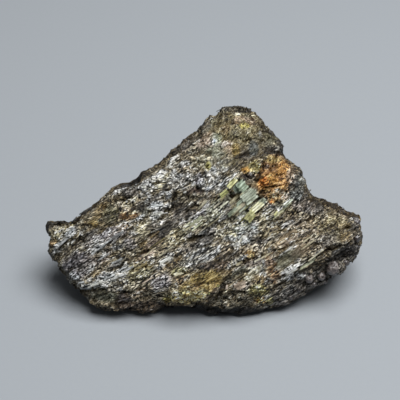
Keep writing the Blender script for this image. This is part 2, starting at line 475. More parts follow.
# smoother, calmer places: a, b, half length, half width, turn, how calm
calmPlaces = [
    (10.6, 56.5, 12.0, 10.0, 0, 0.52), (22.5, 45.7, 5.6, 6.0, -15, 0.5), (27.7, 19.4, 7.0, 2.2, 33, 0.7),
    (-1.0, 9.6, 9.2, 4.6, 30, 0.45), (15.8, 14.0, 5.2, 1.7, 36, 0.4), (13.4, 40.4, 4.4, 3.4, 42, 0.6),
    (4.7, 49.6, 7.0, 4.0, 0, 0.4), (-44.7, 24.6, 4.2, 1.6, 45, 0.4),
    (10.4, 13.9, 3.4, 1.2, 40, 0.45), (-19.4, 28.3, 4.2, 2.4, 36, 0.3), (26.3, 24.8, 5.0, 2.2, 32, 0.25),
    (11.3, 10.4, 2.3, 1.2, 25, 0.5), (15.0, 48.2, 2.6, 1.9, 0, 0.6),
    (-33.5, 5.6, 8.0, 3.4, 0, 0.5), (44.3, 28.4, 5.0, 5.0, 0, 0.35), (9.6, 34.9, 5.0, 2.6, 42, 0.35),
]
# notches and lobes of the outline: a, b, reach and how far out, in mm
rimPlaces = [
    (-51.6, 27.7, 2, 0.7), (-51.3, 23.5, 3, 0.9), (-50.3, 19.3, 3, 0.9),
    (-47.1, 32.0, 4.8, -1.4), (-43.1, 32.3, 3.6, -1.1), (-23.6, 45.7, 5, -1.2),
    (-15.1, 51.6, 4.8, -1.4), (-18.3, 48.3, 2.4, -0.8), (-20.9, 46.0, 2.2, 0.9),
    (-11.2, 55.1, 4.6, -1.2), (-7.2, 58.1, 2.8, -1.3), (-3.7, 60.0, 3.6, -0.8), (3.9, 66.9, 2.6, -0.9),
    (-0.1, 63.6, 3, -0.3), (20.8, 61.3, 2.6, -0.8), (24.1, 56.1, 3.4, 0.9), (27.0, 52.5, 2.4, -0.4),
    (37.1, 38.2, 3.6, -0.8), (41.7, 36.5, 4, -1.3), (45.9, 34.6, 3.6, -0.8),
    (51.2, 27.1, 3.2, 0.8), (50.8, 24.5, 2.6, 0.6), (49.5, 19.3, 3.4, 1.2), (44.3, 14.7, 3, 0.9),
]
# where the rock is granular and not fibrous: a, b, half width, half height
grainyPlaces = [
    (9.6, 60.5, 14.0, 9.0), (-4.1, 47.6, 11.0, 8.0), (22.1, 44.7, 8.0, 9.0), (-12.1, 54.9, 9.0, 6.0),
    (-24.7, 37.9, 8.0, 4.5), (38.9, 33.0, 9.0, 4.0), (11.5, 5.8, 9.0, 4.0), (39.3, 11.3, 12.0, 6.0),
    (13.4, 27.2, 6.0, 4.0), (17.2, 8.9, 5.0, 5.0), (-2.1, 9.0, 7.0, 3.0),
]


# soft noise from about -1 to 1 at each point, drawn out along the fibres; size in mm
def streaks(places, size, seed, drawnOut):
    shift = Vector((seed, 1.7 * seed, -0.6 * seed))
    scale = Vector((1.0 / (size * drawnOut), 1.0 / size, 1.0 / size))
    return np.array([1.6 * noise.noise(Vector(p) * scale + shift) for p in places])


# 0 in the middle of an oval patch on the face, 1 on its edge
def reach(points, a, b, along, across, turn=0.0):
    t = math.radians(turn)
    da, db = points[:, 0] - a, points[:, 1] - b
    u = (da * math.cos(t) + db * math.sin(t)) / along
    v = (db * math.cos(t) - da * math.sin(t)) / across
    return np.sqrt(u * u + v * v)


# how far each point lies out of the broad face, in mm
def outOfFace(points):
    return points[:, 2] + face["fallBack"] * points[:, 1]


# 1 on the broad face, 0 on the back of the stone
def frontShare(points):
    return smooth(*face["backMm"], outOfFace(points))


# 1 where the rock is granular, 0 where it is fibrous
def grainyShare(points, wave):
    front = frontShare(points)
    share = np.zeros(len(points))
    for a, b, halfA, halfB in grainyPlaces:
        edge = reach(points, a, b, halfA, halfB) + 0.3 * wave
        share = np.maximum(share, 1.0 - smooth(0.75, 1.15, edge))
    return front * share + (1.0 - front) * smooth(0.0, 0.3, wave)


# the tint of each point of the stone: a mottled ground, and the patches over it on the front
def paintedTint(points, broad, middle, fine):
    colour = {name: np.array(linear(value)) for name, value in tints.items()}
    tint = np.tile(colour["greyBrown"], (len(points), 1))

    def blend(name, weight):
        nonlocal tint
        tint = tint + (colour[name] - tint) * np.clip(weight, 0.0, 1.0)[:, None]

    blend("silver", 0.8 * smooth(0.1, 0.6, middle + 0.5 * broad))
    blend("oliveBrown", 0.7 * smooth(0.2, 0.6, broad + 0.3 * fine))
    front = frontShare(points)
    back = 1.0 - front
    blend("rust", back * 0.75 * smooth(0.45, 0.8, broad + 0.35 * middle))
    blend("olive", back * 0.6 * smooth(0.15, 0.6, -broad + 0.3 * fine))
    for a, b, along, across, turn, name, strength in patches.values():
        edge = reach(points, a, b, along, across, turn) + 0.16 * middle + 0.16 * fine
        blend(name, front * strength * (1.0 - smooth(0.75, 1.2, edge)))
    level = np.exp(0.16 * middle + 0.16 * fine)
    return tint * level[:, None]


# 1 in the bottom of a gap, 0 outside; and how deep the gap is, in mm
def gapsAt(points, middle, fine):
    amount = np.zeros(len(points))
    depth = np.zeros(len(points))
    front = frontShare(points)
    for a1, b1, a2, b2, width, deep in gaps:
        way = np.array((a2 - a1, b2 - b1))
        length = np.linalg.norm(way)
        da, db = points[:, 0] - a1, points[:, 1] - b1
        share = np.clip((da * way[0] + db * way[1]) / length ** 2, 0.0, 1.0)
        away = np.hypot(da - share * way[0], db - share * way[1]) + 0.35 * middle + 0.15 * fine
        inside = front * (1.0 - smooth(0.25 * width, 1.05 * width, away))
        amount = np.maximum(amount, inside)
        depth = np.maximum(depth, inside * deep)
    return amount, depth


# 1 where the stone is rough and speckled, less in the calm places
def roughShare(points, middle):
    share = np.ones(len(points))
    front = frontShare(points)
    for a, b, along, across, turn, calm in calmPlaces:
        edge = reach(points, a, b, along, across, turn) + 0.15 * middle
        share = np.minimum(share, 1.0 - calm * front * (1.0 - smooth(0.7, 1.2, edge)))
    return share


# the stone itself
stone = {
    "gridMm": 0.42,       # mesh spacing across the fibres
    "stretch": 1.7,       # mesh cells are this much longer along the fibres
    "noises": [           # broad, middle and fine soft noise: size in mm, seed, how far it is drawn out
        (8.0, 3.1, 1.6),
        (2.1, 8.3, 2.2),
        (0.75, 15.7, 2.2),
    ],
    "fibreCells": [       # broken splinters: size along, across and through the fibres, height, seed; in mm
        ((8.0, 2.3, 2.5), 1.0, 5.0),
        ((5.6, 1.1, 1.3), 0.42, 21.0),
        ((3.0, 0.65, 0.8), 0.2, 38.0),
    ],
    "grainCells": [       # the same where the rock is granular
        ((2.8, 2.4, 2.4), 1.0, 9.0),
        ((1.3, 1.2, 1.2), 0.45, 27.0),
        ((0.8, 0.7, 0.7), 0.2, 44.0),
    ],
    "crackMm": 0.30,      # depth of the gaps between splinters,
    "crackShare": 0.12,   # and their width, as a share of a splinter
    "jitterMm": 0.05,
    "seed": 7,
    "wallRelief": 0.55,   # the walls keep this share of the relief,
    "calmRelief": 0.35,   # and the calmest places this one
    "rimInMm": 0.35,      # the splinters would widen the outline by this much
    "rimShare": 0.12,     # share of the loose splinters near the rim, where they'd stand out like bristles
    "baseMm": 0.25,       # nothing is raised on the resting facet, up to this height above it
    "gapDark": 0.82,      # how much darker the gaps are,
    "rindDark": 0.78,     # and the rind on the walls next to the face,
    "rindMm": (-14.0, -4.0),        # which begins and is full at these depths
    "deepHue": (0.92, 1.04, 1.32),  # what lies deep is not only darker but browner: red, green, blue
}


# a cell is a small plane of its own, lifted and tilted: how far out it is here, the way to the gap around
# it, and a mark of its own
def cellHeight(place, size, height, seed):
    spot = Vector((place[0] / size[0] + seed, place[1] / size[1], place[2] / size[2]))
    distances, cells = noise.voronoi(spot)
    lift = noise.cell_vector(cells[0])
    tilt = noise.cell_vector(cells[0] + Vector((31.0, 17.0, 5.0)))
    offset = spot - cells[0]
    slope = (tilt.x - 0.5) * offset.x + (tilt.y - 0.5) * offset.y + (tilt.z - 0.5) * offset.z
    return height * (lift.x - 0.5 + 0.9 * slope), distances[1] - distances[0], lift.y


# degrees that the fibres are turned off their usual angle at each point of the face
def fibreSwing(points, wave):
    swing = face["swingNoise"] * wave
    for a, b, size, degrees in fibreSwings:
        swing += degrees * np.exp(-((points[:, 0] - a) ** 2 + (points[:, 1] - b) ** 2) / size ** 2)
    return face["swingStep"] * np.round(swing / face["swingStep"])


# the solid's mesh again on an even grid that is drawn out along the fibres
def stoneMesh():
    bm = bmesh.new()
    bm.from_mesh(frame["nodes"]["nuummite"].data)
    bmesh.ops.remove_doubles(bm, verts=bm.verts, dist=1e-6)
    squeeze = Matrix.Diagonal((1.0 / stone["stretch"], 1.0, 1.0, 1.0))
    bm.transform(squeeze @ fibreToWorld.inverted())
    thing = newObject("stone", meshFrom(bm, "stone"))
    remesh = thing.modifiers.new("Grid", "REMESH")
    remesh.mode = "VOXEL"
    remesh.voxel_size = stone["gridMm"]
    applied(thing)
    thing.data.transform(squeeze.inverted())
    return thing


# the places or normals of a mesh's vertices, one in each row
def arrayOf(data, name="co"):
    values = np.empty(len(data) * 3, np.float32)
    data.foreach_get(name, values)
    return values.reshape(-1, 3).astype(float)


# splinters and grains: how far out each vertex goes, and the tone and warmth of its splinter
def relief(places, broad, middle, swing, grainy):
    draw = random.Random(stone["seed"])
    push, tone, warmth = np.zeros((3, len(places)))
    for i, (x, y, z) in enumerate(places):
        c, s = math.cos(swing[i]), math.sin(swing[i])
        # the noises bend the splinters a little
        turned = (x * c + y * s + 0.6 * middle[i], y * c - x * s + 0.35 * broad[i], z)
        for place, cells, share in ((turned, stone["fibreCells"], 1.0 - grainy[i]),
                                    ((x, y, z), stone["grainCells"], grainy[i])):
            if share < 0.01:
                continue
            marks = []
            for k, (size, height, seed) in enumerate(cells):
                up, gap, mark = cellHeight(place, size, height, seed)
                if k < 2:    # the smallest have no gaps of their own
                    crack = max(0.0, 1.0 - gap / stone["crackShare"])
                    up -= (1.0 - k * 0.45) * stone["crackMm"] * crack
                push[i] += share * up
                marks.append(mark)
            if share > 0.5:
                warmth[i], tone[i] = marks[0], 0.6 * marks[1] + 0.4 * marks[2]
        push[i] += draw.uniform(-1.0, 1.0) * stone["jitterMm"]
    return push, tone, warmth


# the same relief with the walls, the rim and the calm places calmer than the broad face
def calmed(push, points, normals, rough):
    facing = np.abs(normals[:, 2])
    push = push * (stone["wallRelief"] + (1.0 - stone["wallRelief"]) * smooth(0.15, 0.6, facing))
    push -= stone["rimInMm"] * (1.0 - smooth(0.2, 0.6, facing))
    for a, b, size, out in rimPlaces:
        push += out * (1.0 - smooth(0.35, 1.0, np.hypot(points[:, 0] - a, points[:, 1] - b) / size))
    return push * (stone["calmRelief"] + (1.0 - stone["calmRelief"]) * rough)


# the fibres' direction laid onto the surface, and 1 where they stand out of it
def fibreWays(swing, normals):
    toWorld = np.array((faceTurn @ fibreTurn).to_3x3())
    along = np.stack([np.cos(swing), np.sin(swing), np.zeros(len(swing))], 1) @ toWorld.T
    worldNormals = normals @ toWorld.T
    along -= worldNormals * (along * worldNormals).sum(1)[:, None]
    flatness = np.linalg.norm(along, axis=1)
    return along / np.maximum(flatness, 1e-4)[:, None], 1.0 - smooth(0.75, 0.92, flatness)


# breaks the surface into splinters and grains, and paints its tint and its fibres on it
def workStone(thing, material):
    mesh = thing.data
    places = arrayOf(mesh.vertices)
    normals = arrayOf(mesh.vertex_normals, "vector")
    turn = np.array(fibreTurn.to_3x3())
    points, faceNormals = places @ turn.T, normals @ turn.T
    print("stone mesh:", len(places), "vertices")
    broad, middle, fine = (streaks(places, *spec) for spec in stone["noises"])
    grainy = grainyShare(points, 0.6 * broad)
    rough = roughShare(points, middle)
    swing = np.radians(fibreSwing(points, broad))
    push, tone, warmth = relief(places, broad, middle, swing, grainy)
    push = calmed(push, points, faceNormals, rough)
    cavity = 0.45 + 0.55 * smooth(-0.75, 0.0, push)
    inGap, gapDepth = gapsAt(points, middle, fine)
    push -= gapDepth

    # hollows are dark, and the gaps and the rind darkest
    rind = (1.0 - smooth(0.35, 0.85, faceNormals[:, 2])) * smooth(*stone["rindMm"], outOfFace(points))
    dark = cavity * (1.0 - stone["gapDark"] * inGap) * (1.0 - stone["rindDark"] * rind)
    tint = paintedTint(points, broad, middle, fine) * dark[:, None] ** np.array(stone["deepHue"])

    height = (points @ np.array(faceTurn.to_3x3()).T)[:, 2] - face["originMm"][2]
    free = np.where(height < stone["baseMm"], 0.0, 1.0)
    moved = places + normals * (push * free)[:, None]
    mesh.vertices.foreach_set("co", moved.astype(np.float32).ravel())
    mesh.transform(fibreToWorld)
    mesh.update()

    along, endOn = fibreWays(swing, normals)
    grainy = np.maximum(grainy, endOn)
    bundles = 0.25 + 0.75 * smooth(-0.25, 0.3, middle)
    inside = stone["rimShare"] + (1.0 - stone["rimShare"]) * smooth(0.3, 0.7, faceNormals[:, 2])
    free *= 1.0 - inGap
    attributeOf(mesh, "tint", "FLOAT_COLOR", np.concatenate([tint, np.ones((len(tint), 1))], 1))
    attributeOf(mesh, "fibre", "FLOAT_VECTOR", along)
    for name, values in {
        "tone": tone,
        "warmth": warmth,
        "speckle": rough,
        "turnBack": -swing,
        "lathShare": (1.0 - grainy) * bundles * rough * inside * free,
        "grainShare": np.clip(grainy + 0.15, 0.0, 1.0) * (1.0 - 0.6 * rind) * free,
    }.items():
        attributeOf(mesh, name, "FLOAT", values)
    mesh.shade_flat()
    mesh.materials.clear()
    mesh.materials.append(material)
    print("stone:", len(mesh.polygons), "faces")
    return thing


# what lies loose or broken on the stone: splinters of fibre, and crystal grains
splinters = {
    "perSquareCm": 22.0,
    "smallMm": (1.4, 0.28, 0.24),     # length, width, thickness
    "largeMm": (6.5, 0.62, 0.50),
    "tiltDegrees": (32.0, 6.0, 9.0),  # roll, pitch, turn
    "sink": 0.05,                     # how deep the middle lies, as a share of the thickness
    "seed": 4,
    "shapeSeed": 3,
}
grains = {
    "perSquareCm": 42.0,
    "smallMm": (0.5, 0.4, 0.4),
    "largeMm": (1.9, 1.4, 1.1),
    "tiltDegrees": (70.0, 70.0, 180.0),
    "sink": 0.22,
    "seed": 11,
    "shapeSeed": 12,
}


# the smallest solid around some points
def hullMesh(name, points):
    bm = bmesh.new()
    for point in points:
        bm.verts.new(point)
    hull = bmesh.ops.convex_hull(bm, input=bm.verts)
    spare = {v for v in hull["geom_interior"] + hull["geom_unused"] if isinstance(v, bmesh.types.BMVert)}
    bmesh.ops.delete(bm, geom=list(spare), context="VERTS")
    return meshFrom(bm, name)


# four broken laths, one long, wide and thick, with slanting ends
def splinterShapes():
    draw = random.Random(splinters["shapeSeed"])
    shapes = []
    for sides in (3, 4, 4, 5):
        points = []
        turn = draw.uniform(0.0, 360.0)
        for k in range(sides):
            t = math.radians(turn + 360.0 * k / sides + draw.uniform(-14.0, 14.0))
            y, z = 0.5 * math.cos(t), 0.5 * math.sin(t)
            points.append((-0.5 + draw.uniform(0.0, 0.16), y, z))
            points.append((0.5 - draw.uniform(0.0, 0.16), y * 0.85, z * 0.85))
        shapes.append(hullMesh("splinter", points))
    return shapes


# a unit vector in any direction
def anyWay(draw):
    return Vector((draw.gauss(0, 1), draw.gauss(0, 1), draw.gauss(0, 1))).normalized()


# four blunt crystals
def grainShapes():
    draw = random.Random(grains["shapeSeed"])
    shapes = []
    for count in (7, 8, 9, 10):
        shapes.append(hullMesh("grain", [anyWay(draw) * draw.uniform(0.42, 0.55) for k in range(count)]))
    return shapes


# puts shapes on a surface, long side along the fibre, and keeps a tone and a warmth for each
def scatterTree():
    tree = bpy.data.node_groups.new("scatterAlongFibre", "GeometryNodeTree")
    sockets = tree.interface
    sockets.new_socket("Geometry", in_out="OUTPUT", socket_type="NodeSocketGeometry")
    for name, kind in (("Stone", "Geometry"), ("Shapes", "Collection"), ("Share", "String"),
                       ("Density", "Float"), ("Small", "Vector"), ("Large", "Vector"), ("Tilt", "Vector"),
                       ("Sink", "Float"), ("Seed", "Int"), ("Material", "Material")):
        sockets.new_socket(name, in_out="INPUT", socket_type="NodeSocket" + kind)
    given = addNode(tree, "NodeGroupInput").outputs

    def drawn(kind, low, high, step):
        seed = addNode(tree, "ShaderNodeMath", plus, {0: given["Seed"], 1: float(step)})
        index = {"FLOAT_VECTOR": 0, "FLOAT": 1}[kind]
        node = addNode(tree, "FunctionNodeRandomValue", {"data_type": kind},
                       {2 * index: low, 2 * index + 1: high, "Seed": seed})
        return node.outputs[index]

    share = addNode(tree, "GeometryNodeInputNamedAttribute", {"data_type": "FLOAT"}, {"Name": given["Share"]})
    density = addNode(tree, "ShaderNodeMath", times, {0: share, 1: given["Density"]})
    points = addNode(tree, "GeometryNodeDistributePointsOnFaces", {"distribute_method": "RANDOM"},
                     {"Mesh": given["Stone"], "Density": density, "Seed": given["Seed"]})
    fibre = addNode(tree, "GeometryNodeInputNamedAttribute", {"data_type": "FLOAT_VECTOR"}, {"Name": "fibre"})
    along = addNode(tree, "FunctionNodeAlignRotationToVector", {"axis": "X"}, {"Vector": fibre})
    upright = addNode(tree, "FunctionNodeAlignRotationToVector", {"axis": "Z", "pivot_axis": "X"},
                      {"Rotation": along, "Vector": points.outputs["Normal"]})
    tiltBack = addNode(tree, "ShaderNodeVectorMath", scaled, {0: given["Tilt"], "Scale": -1.0})
    tilt = addNode(tree, "FunctionNodeEulerToRotation", None,
                   {0: drawn("FLOAT_VECTOR", tiltBack.outputs[0], given["Tilt"], 1)})
    turned = addNode(tree, "FunctionNodeRotateRotation", {"rotation_space": "LOCAL"},
                     {"Rotation": upright, "Rotate By": tilt})
    # most are small and few are large
    chance = drawn("FLOAT_VECTOR", (0.0, 0.0, 0.0), (1.0, 1.0, 1.0), 2)
    squared = addNode(tree, "ShaderNodeVectorMath", times, {0: chance, 1: chance})
    span = addNode(tree, "ShaderNodeVectorMath", minus, {0: given["Large"], 1: given["Small"]})
    size = addNode(tree, "ShaderNodeVectorMath", timesPlus,
                   {0: squared, 1: span, 2: given["Small"]})
    shapes = addNode(tree, "GeometryNodeCollectionInfo", None,
                     {"Collection": given["Shapes"], "Separate Children": True, "Reset Children": True})
    thickness = addNode(tree, "ShaderNodeSeparateXYZ", None, {0: size})
    depth = addNode(tree, "ShaderNodeMath", times, {0: thickness.outputs[2], 1: given["Sink"]})
    outwards = addNode(tree, "ShaderNodeVectorMath", scaled, {0: points.outputs["Normal"], "Scale": depth})
    inwards = addNode(tree, "ShaderNodeVectorMath", scaled, {0: outwards, "Scale": -1.0})
    sunk = addNode(tree, "GeometryNodeSetPosition", None, {"Geometry": points, "Offset": inwards})
    placed = addNode(tree, "GeometryNodeInstanceOnPoints", None,
                     {"Points": sunk, "Instance": shapes, "Pick Instance": True, "Rotation": turned,
                      "Scale": size})
    last = placed
    for step, name in enumerate(("tone", "warmth")):
        last = addNode(tree, "GeometryNodeStoreNamedAttribute", {"data_type": "FLOAT", "domain": "INSTANCE"},
                       {"Geometry": last, "Name": name, "Value": drawn("FLOAT", 0.0, 1.0, 5 + step)})
    realised = addNode(tree, "GeometryNodeRealizeInstances", None, {"Geometry": last})
    finished = addNode(tree, "GeometryNodeSetMaterial", None,
                       {"Geometry": realised, "Material": given["Material"]})
    addNode(tree, "NodeGroupOutput", None, {0: finished})
    return tree


# strews shapes over the ground as the tree says, and leaves them a plain mesh
def scattered(name, ground, tree, shapes, share, spec, material):
    shelf = bpy.data.collections.new(name + "Shapes")
    bpy.context.scene.collection.children.link(shelf)
    for k, mesh in enumerate(shapes):
        shelf.objects.link(bpy.data.objects.new(f"{name}Shape{k}", mesh))
    thing = newObject(name, ground.data.copy())
    modifier = thing.modifiers.new("Scatter", "NODES")
    modifier.node_group = tree
    values = {
        "Shapes": shelf, "Share": share, "Density": spec["perSquareCm"] * 1e4,
        "Small": [mm * v for v in spec["smallMm"]], "Large": [mm * v for v in spec["largeMm"]],
        "Tilt": [math.radians(v) for v in spec["tiltDegrees"]], "Sink": spec["sink"],
        "Seed": spec["seed"], "Material": material,
    }
    for socket in tree.interface.items_tree:
        if socket.in_out == "INPUT" and socket.name in values:
            modifier[socket.identifier] = values[socket.name]
    applied(thing)
    for piece in list(shelf.objects):
        bpy.data.objects.remove(piece)
    bpy.data.collections.remove(shelf)
    thing.data.shade_flat()
    print(name, len(thing.data.polygons), "faces")
    return thing


# pale laths that lie open on the face
laths = {
    # a, b, length, width in mm, turn in degrees, ribs, lift in mm, tint
    "rows": [
        # the open plates right of the middle, and thin slivers on the right
        (12.2, 42.0, 3.5, 3.5, 42, 4, 1.2, "teal"),
        (14.4, 38.7, 5.4, 4.0, 39, 5, 1.4, "mint"),
        (9.0, 42.9, 4.0, 1.5, 46, 2, 1.0, "paleLime"),
        (6.4, 39.7, 3.8, 1.7, 42, 2, 0.9, "yellowGreen"),
        (5.9, 38.1, 2.6, 1.0, 40, 1, 0.7, "olive"),
        (10.1, 34.4, 5.0, 1.2, 42, 2, 1.0, "greenWhite"),
        (9.0, 33.7, 4.0, 1.2, 42, 2, 0.9, "paleGreen"),
        (11.4, 33.7, 4.4, 1.0, 42, 1, 1.0, "beige"),
        (18.0, 36.8, 4.6, 1.4, 36, 2, 1.2, "mint"),
        (16.5, 35.0, 5.8, 2.2, 40, 3, 1.5, "creamLime"),
        (14.8, 32.3, 3.9, 2.6, 52, 3, 1.2, "paleLime"),
        (25.2, 34.5, 9.0, 1.0, 42, 2, 1.0, "creamLime"),
        (27.1, 36.8, 4.0, 0.8, 42, 1, 1.0, "mint"),
        (22.9, 33.3, 1.8, 0.8, 55, 1, 1.0, "paleLime"),
        (-0.5, 36.0, 4.4, 0.7, 42, 1, 0.6, "pale"),
        (4.3, 36.0, 4.6, 0.6, 42, 1, 0.6, "pale"),
        (6.3, 36.0, 4.2, 0.6, 42, 1, 0.6, "greenWhite"),
        (-2.8, 30.5, 6.0, 1.1, 36, 2, 0.5, "greenWhite"),
        (26.4, 26.2, 7.0, 0.5, 32, 1, 0.5, "pinkBeige"),
        (27.5, 24.7, 7.0, 0.5, 34, 1, 0.5, "pinkWhite"),
        (24.8, 23.9, 4.6, 0.5, 33, 1, 0.5, "pinkBeige"),
        (29.3, 28.4, 8.0, 0.45, 33, 1, 0.4, "brownGrey"),
        (26.0, 21.2, 6.0, 0.42, 34, 1, 0.6, "white"),
        (32.7, 24.9, 3.6, 0.5, 37, 1, 0.6, "beige"),
        (33.9, 23.9, 4.0, 0.5, 38, 1, 0.5, "beige"),
        (36.2, 26.2, 3.0, 0.5, 38, 1, 0.6, "beige"),
        (32.1, 22.7, 3.6, 0.5, 36, 1, 0.5, "beige"),
        (35.5, 19.8, 7.5, 0.5, 36, 1, 0.5, "pale"),
        (11.2, 17.3, 2.8, 0.8, 34, 1, 0.6, "beige"),
        (17.0, 18.4, 2.6, 0.7, 30, 1, 0.6, "pale"),
        (20.2, 19.9, 4.6, 0.5, 26, 1, 0.5, "beige"),
        (-12.3, 18.4, 5.4, 1.0, 30, 2, 0.5, "white"),
        (3.1, 9.1, 5.6, 0.4, 40, 1, 0.4, "yellowGreen"),
        # long silver slivers on the left and in the middle
        (-34.3, 21.5, 6.5, 0.55, 34, 1, 0.4, "silverWhite"),
        (-31.0, 24.1, 7.0, 0.5, 33, 1, 0.4, "silverWhite"),
        (-28.0, 26.1, 6.0, 0.6, 34, 1, 0.4, "silverBright"),
        (-32.3, 19.3, 5.0, 0.5, 32, 1, 0.4, "silverBright"),
        (-27.7, 18.1, 4.6, 0.6, 24, 1, 0.4, "silverWhite"),
        (-34.9, 10.3, 6.0, 0.6, 20, 1, 0.4, "white"),
        (-30.3, 12.9, 5.4, 0.6, 26, 1, 0.4, "silverWhite"),
        (-26.8, 15.2, 4.4, 0.5, 36, 1, 0.4, "silverWhite"),
        (-38.8, 11.2, 4.0, 0.5, 14, 1, 0.4, "silverBright"),
        (-43.7, 27.3, 4.6, 0.7, 44, 1, 0.5, "silverWhite"),
        (-45.3, 24.1, 5.0, 0.6, 41, 1, 0.4, "silverBright"),
        (-16.9, 25.7, 7.0, 0.45, 37, 1, 0.35, "oliveBrown"),
        (-15.3, 23.5, 8.0, 0.45, 36, 1, 0.35, "olive"),
        (-17.8, 20.6, 6.4, 0.45, 36, 1, 0.35, "beige"),
        (-12.0, 21.3, 6.4, 0.45, 35, 1, 0.35, "pale"),
        (-20.6, 17.5, 6.0, 0.5, 33, 1, 0.35, "beige"),
        (-21.9, 14.3, 5.4, 0.5, 30, 1, 0.35, "pale"),
        (-18.4, 11.7, 5.0, 0.5, 32, 1, 0.35, "pinkWhite"),
        (-6.0, 27.6, 6.4, 0.5, 38, 1, 0.35, "oliveGrey"),
        (-2.4, 28.9, 5.0, 0.5, 38, 1, 0.35, "greenWhite"),
        (2.7, 30.2, 5.0, 0.5, 38, 1, 0.35, "oliveGrey"),
        (-15.3, 35.7, 4.4, 0.6, 10, 1, 0.4, "silverWhite"),
        (-15.0, 33.1, 4.6, 0.6, 12, 1, 0.4, "white"),
        # wider ones low on the left
        (-37.7, 9.0, 6.0, 0.9, 2, 1, 0.6, "silverWhite"),
        (-34.5, 11.0, 5.0, 0.8, 22, 1, 0.5, "white"),
        (-27.7, 13.0, 6.0, 0.8, 24, 1, 0.5, "white"),
        (-24.2, 15.5, 5.0, 0.8, 28, 1, 0.5, "silverWhite"),
        (-19.7, 16.5, 4.6, 0.7, 28, 1, 0.4, "bronze"),
        # the broken feet of the open plates
        (12.7, 35.5, 6.4, 1.3, 44, 2, 0.9, "mint"),
        (10.9, 34.7, 6.4, 1.2, 43, 2, 0.8, "beige"),
        (10.1, 38.2, 4.6, 1.1, 42, 2, 0.8, "olive"),
        (9.3, 37.3, 4.4, 1.0, 44, 1, 0.7, "oliveGrey"),
        (11.7, 37.1, 4.6, 1.1, 43, 2, 0.8, "paleGreen"),
        (14.0, 36.0, 4.8, 1.1, 43, 2, 0.8, "paleLime"),
        # glints: small open cleavages, and a few larger pale pieces
        (11.1, 65.8, 1.5, 0.6, 5, 1, 0.4, "cream"),
        (16.1, 65.3, 1.1, 0.5, 10, 1, 0.4, "cream"),
        (-8.2, 13.8, 3.4, 0.8, 22, 2, 0.5, "cream"),
        (-5.1, 10.1, 1.4, 0.6, 10, 1, 0.4, "cream"),
        (-14.3, 41.9, 1.6, 0.9, 5, 1, 0.5, "cream"),
        (-6.3, 40.0, 1.3, 0.6, 30, 1, 0.4, "white"),
        (10.1, 23.2, 2.2, 1.2, 40, 2, 0.6, "white"),
        (12.8, 25.5, 1.4, 0.7, 40, 1, 0.5, "white"),
        (20.8, 21.9, 1.2, 0.7, 30, 1, 0.5, "white"),
        (-47.4, 26.3, 1.6, 0.8, 60, 1, 0.4, "cream"),
        (33.1, 17.1, 6.4, 0.9, 33, 2, 0.5, "greenWhite"),
        (27.6, 14.9, 4.4, 1.4, 32, 3, 0.6, "white"),
        (-19.5, 41.8, 2.0, 0.9, 5, 1, 0.5, "white"),
        (-42.5, 24.0, 2.0, 0.5, 48, 1, 0.5, "white"),
        (-9.1, 13.9, 1.6, 0.8, 20, 1, 0.6, "cream"),
        (13.1, 25.9, 1.8, 0.9, 25, 2, 0.7, "white"),
        (7.2, 9.7, 1.5, 0.8, 80, 1, 0.5, "pinkWhite"),
        (11.5, 10.2, 4.0, 2.2, 22, 2, 0.8, "pinkWhite"),
    ],
    "depthMm": 1.4,              # how far they reach into the stone
    "steepest": 0.35,            # they follow the slope of the stone up to this
    "ribWidth": (0.86, 1.0),     # width of a rib, as a share of its place
    "cutBack": 0.16,             # its ends are shorter by up to this share of the length
    "unevenMm": 0.12,            # its top lies up to this much higher or lower,
    "lean": 0.22,                # leans by up to this to one side,
    "slant": 0.3,                # and its ends slant by up to this
    "shade": (0.8, 1.05),        # each rib is darker or paler than its tint
    "tone": (0.45, 0.75),
    "speckle": 0.55,
    "seed": 21,
}


# where a line into the face meets the stone, and its normal there
def groundAt(ground, a, b):
    return ground.ray_cast(faceToWorld @ Vector((a, b, face["rayStartMm"])), intoFace)[:2]


